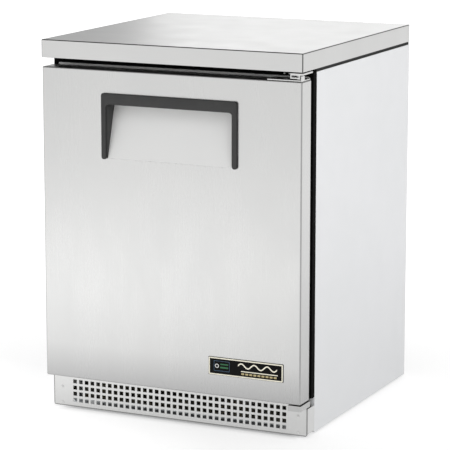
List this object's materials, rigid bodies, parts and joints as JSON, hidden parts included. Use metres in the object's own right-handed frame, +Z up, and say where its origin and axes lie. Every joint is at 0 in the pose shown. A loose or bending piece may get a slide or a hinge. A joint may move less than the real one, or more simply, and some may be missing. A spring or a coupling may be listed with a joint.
{
  "type": "undercounter freezer",
  "caption": "Undercounter freezer cabinet with a right-hinged stainless door, recessed pull, wire shelves, flat worktop and a cooling unit behind a perforated kick grille.",
  "frame": {"origin": "on the floor, in the middle of the whole object", "axes": "+X to the right as seen from the front, +Y to the rear, +Z up; the door faces -Y"},
  "size_m": [0.61, 0.615, 0.82],
  "materials": {
    "brushed_steel": "satin",
    "white_panel": "satin",
    "galvanised_steel": "satin",
    "aluminium": "satin",
    "white_enamel": "satin",
    "black_rubber": "matte",
    "black_plastic": "satin",
    "black_paint": "satin",
    "copper": "satin",
    "coated_wire": "satin",
    "foam": "matte"
  },
  "bodies": {
    "cabinet": {"worktop": "brushed_steel", "face_frame": "brushed_steel", "kick_grille": "brushed_steel", "top_hinge_bracket": "brushed_steel", "bottom_hinge_bracket": "brushed_steel", "grille_screw_left": "brushed_steel", "grille_screw_right": "brushed_steel", "side_panel_left": "white_panel", "side_panel_right": "white_panel", "rear_panel": "galvanised_steel", "rear_service_grille": "galvanised_steel", "base_pan": "galvanised_steel", "shelf_clip_lower_front_left": "galvanised_steel", "shelf_clip_lower_front_right": "galvanised_steel", "shelf_clip_lower_rear_left": "galvanised_steel", "shelf_clip_lower_rear_right": "galvanised_steel", "shelf_clip_upper_front_left": "galvanised_steel", "shelf_clip_upper_front_right": "galvanised_steel", "shelf_clip_upper_rear_left": "galvanised_steel", "shelf_clip_upper_rear_right": "galvanised_steel", "inner_liner": "aluminium", "evaporator_coil": "aluminium", "shelf_pilaster_front_left": "aluminium", "shelf_pilaster_front_right": "aluminium", "shelf_pilaster_rear_left": "aluminium", "shelf_pilaster_rear_right": "aluminium", "evaporator_cover": "white_enamel", "worktop_seal": "black_rubber", "breaker_strip": "black_plastic", "cord_gland": "black_plastic", "thermostat": "black_plastic", "drain_tube": "black_plastic", "condensate_pan": "black_plastic", "compressor": "black_paint", "condenser_coil": "black_paint", "condenser_fan_motor": "black_paint", "evaporator_fan_motor": "black_paint", "suction_line": "copper", "discharge_line": "copper", "filter_drier": "copper", "wire_shelf_lower": "coated_wire", "wire_shelf_upper": "coated_wire", "insulation_foam": "foam", "worktop_core": "foam"},
    "door": {"door_skin": "brushed_steel", "door_foam": "foam", "door_liner": "white_enamel", "door_gasket": "black_rubber", "handle_pocket": "brushed_steel", "handle_bezel": "black_plastic", "badge_plate": "black_plastic", "door_hinge_plate": "brushed_steel", "hinge_cartridge": "black_plastic"},
    "condenser_fan": {"condenser_fan_blade": "aluminium"},
    "evaporator_fan": {"evaporator_fan_blade": "black_plastic"},
    "knob": {"control_knob": "black_plastic"},
    "foot_front_left": {"levelling_foot_front_left": "galvanised_steel"},
    "foot_front_right": {"levelling_foot_front_right": "galvanised_steel"},
    "foot_rear_left": {"levelling_foot_rear_left": "galvanised_steel"},
    "foot_rear_right": {"levelling_foot_rear_right": "galvanised_steel"}
  },
  "joints": [
    {"name": "door_hinge", "type": "hinge", "parent": "cabinet", "child": "door", "pos_m": [0.292, -0.2865, 0.42], "axis": [0, 0, 1], "range_deg": [0, 120], "stiffness_Nm_per_rad": 0.6, "springref_deg": -5.73},
    {"name": "condenser_fan_spin", "type": "hinge", "parent": "cabinet", "child": "condenser_fan", "pos_m": [-0.165, 0.1375, 0.118], "axis": [0, 1, 0], "continuous": true},
    {"name": "evaporator_fan_spin", "type": "hinge", "parent": "cabinet", "child": "evaporator_fan", "pos_m": [0, 0.1875, 0.62], "axis": [0, 1, 0], "continuous": true},
    {"name": "temperature_knob", "type": "hinge", "parent": "cabinet", "child": "knob", "pos_m": [0.165, 0.167, 0.64], "axis": [0, 1, 0], "range_deg": [0, 270]},
    {"name": "foot_front_left_travel", "type": "slide", "parent": "cabinet", "child": "foot_front_left", "axis": [0, 0, -1], "range_m": [0, 0.012]},
    {"name": "foot_front_right_travel", "type": "slide", "parent": "cabinet", "child": "foot_front_right", "axis": [0, 0, -1], "range_m": [0, 0.012]},
    {"name": "foot_rear_left_travel", "type": "slide", "parent": "cabinet", "child": "foot_rear_left", "axis": [0, 0, -1], "range_m": [0, 0.012]},
    {"name": "foot_rear_right_travel", "type": "slide", "parent": "cabinet", "child": "foot_rear_right", "axis": [0, 0, -1], "range_m": [0, 0.012]}
  ]
}
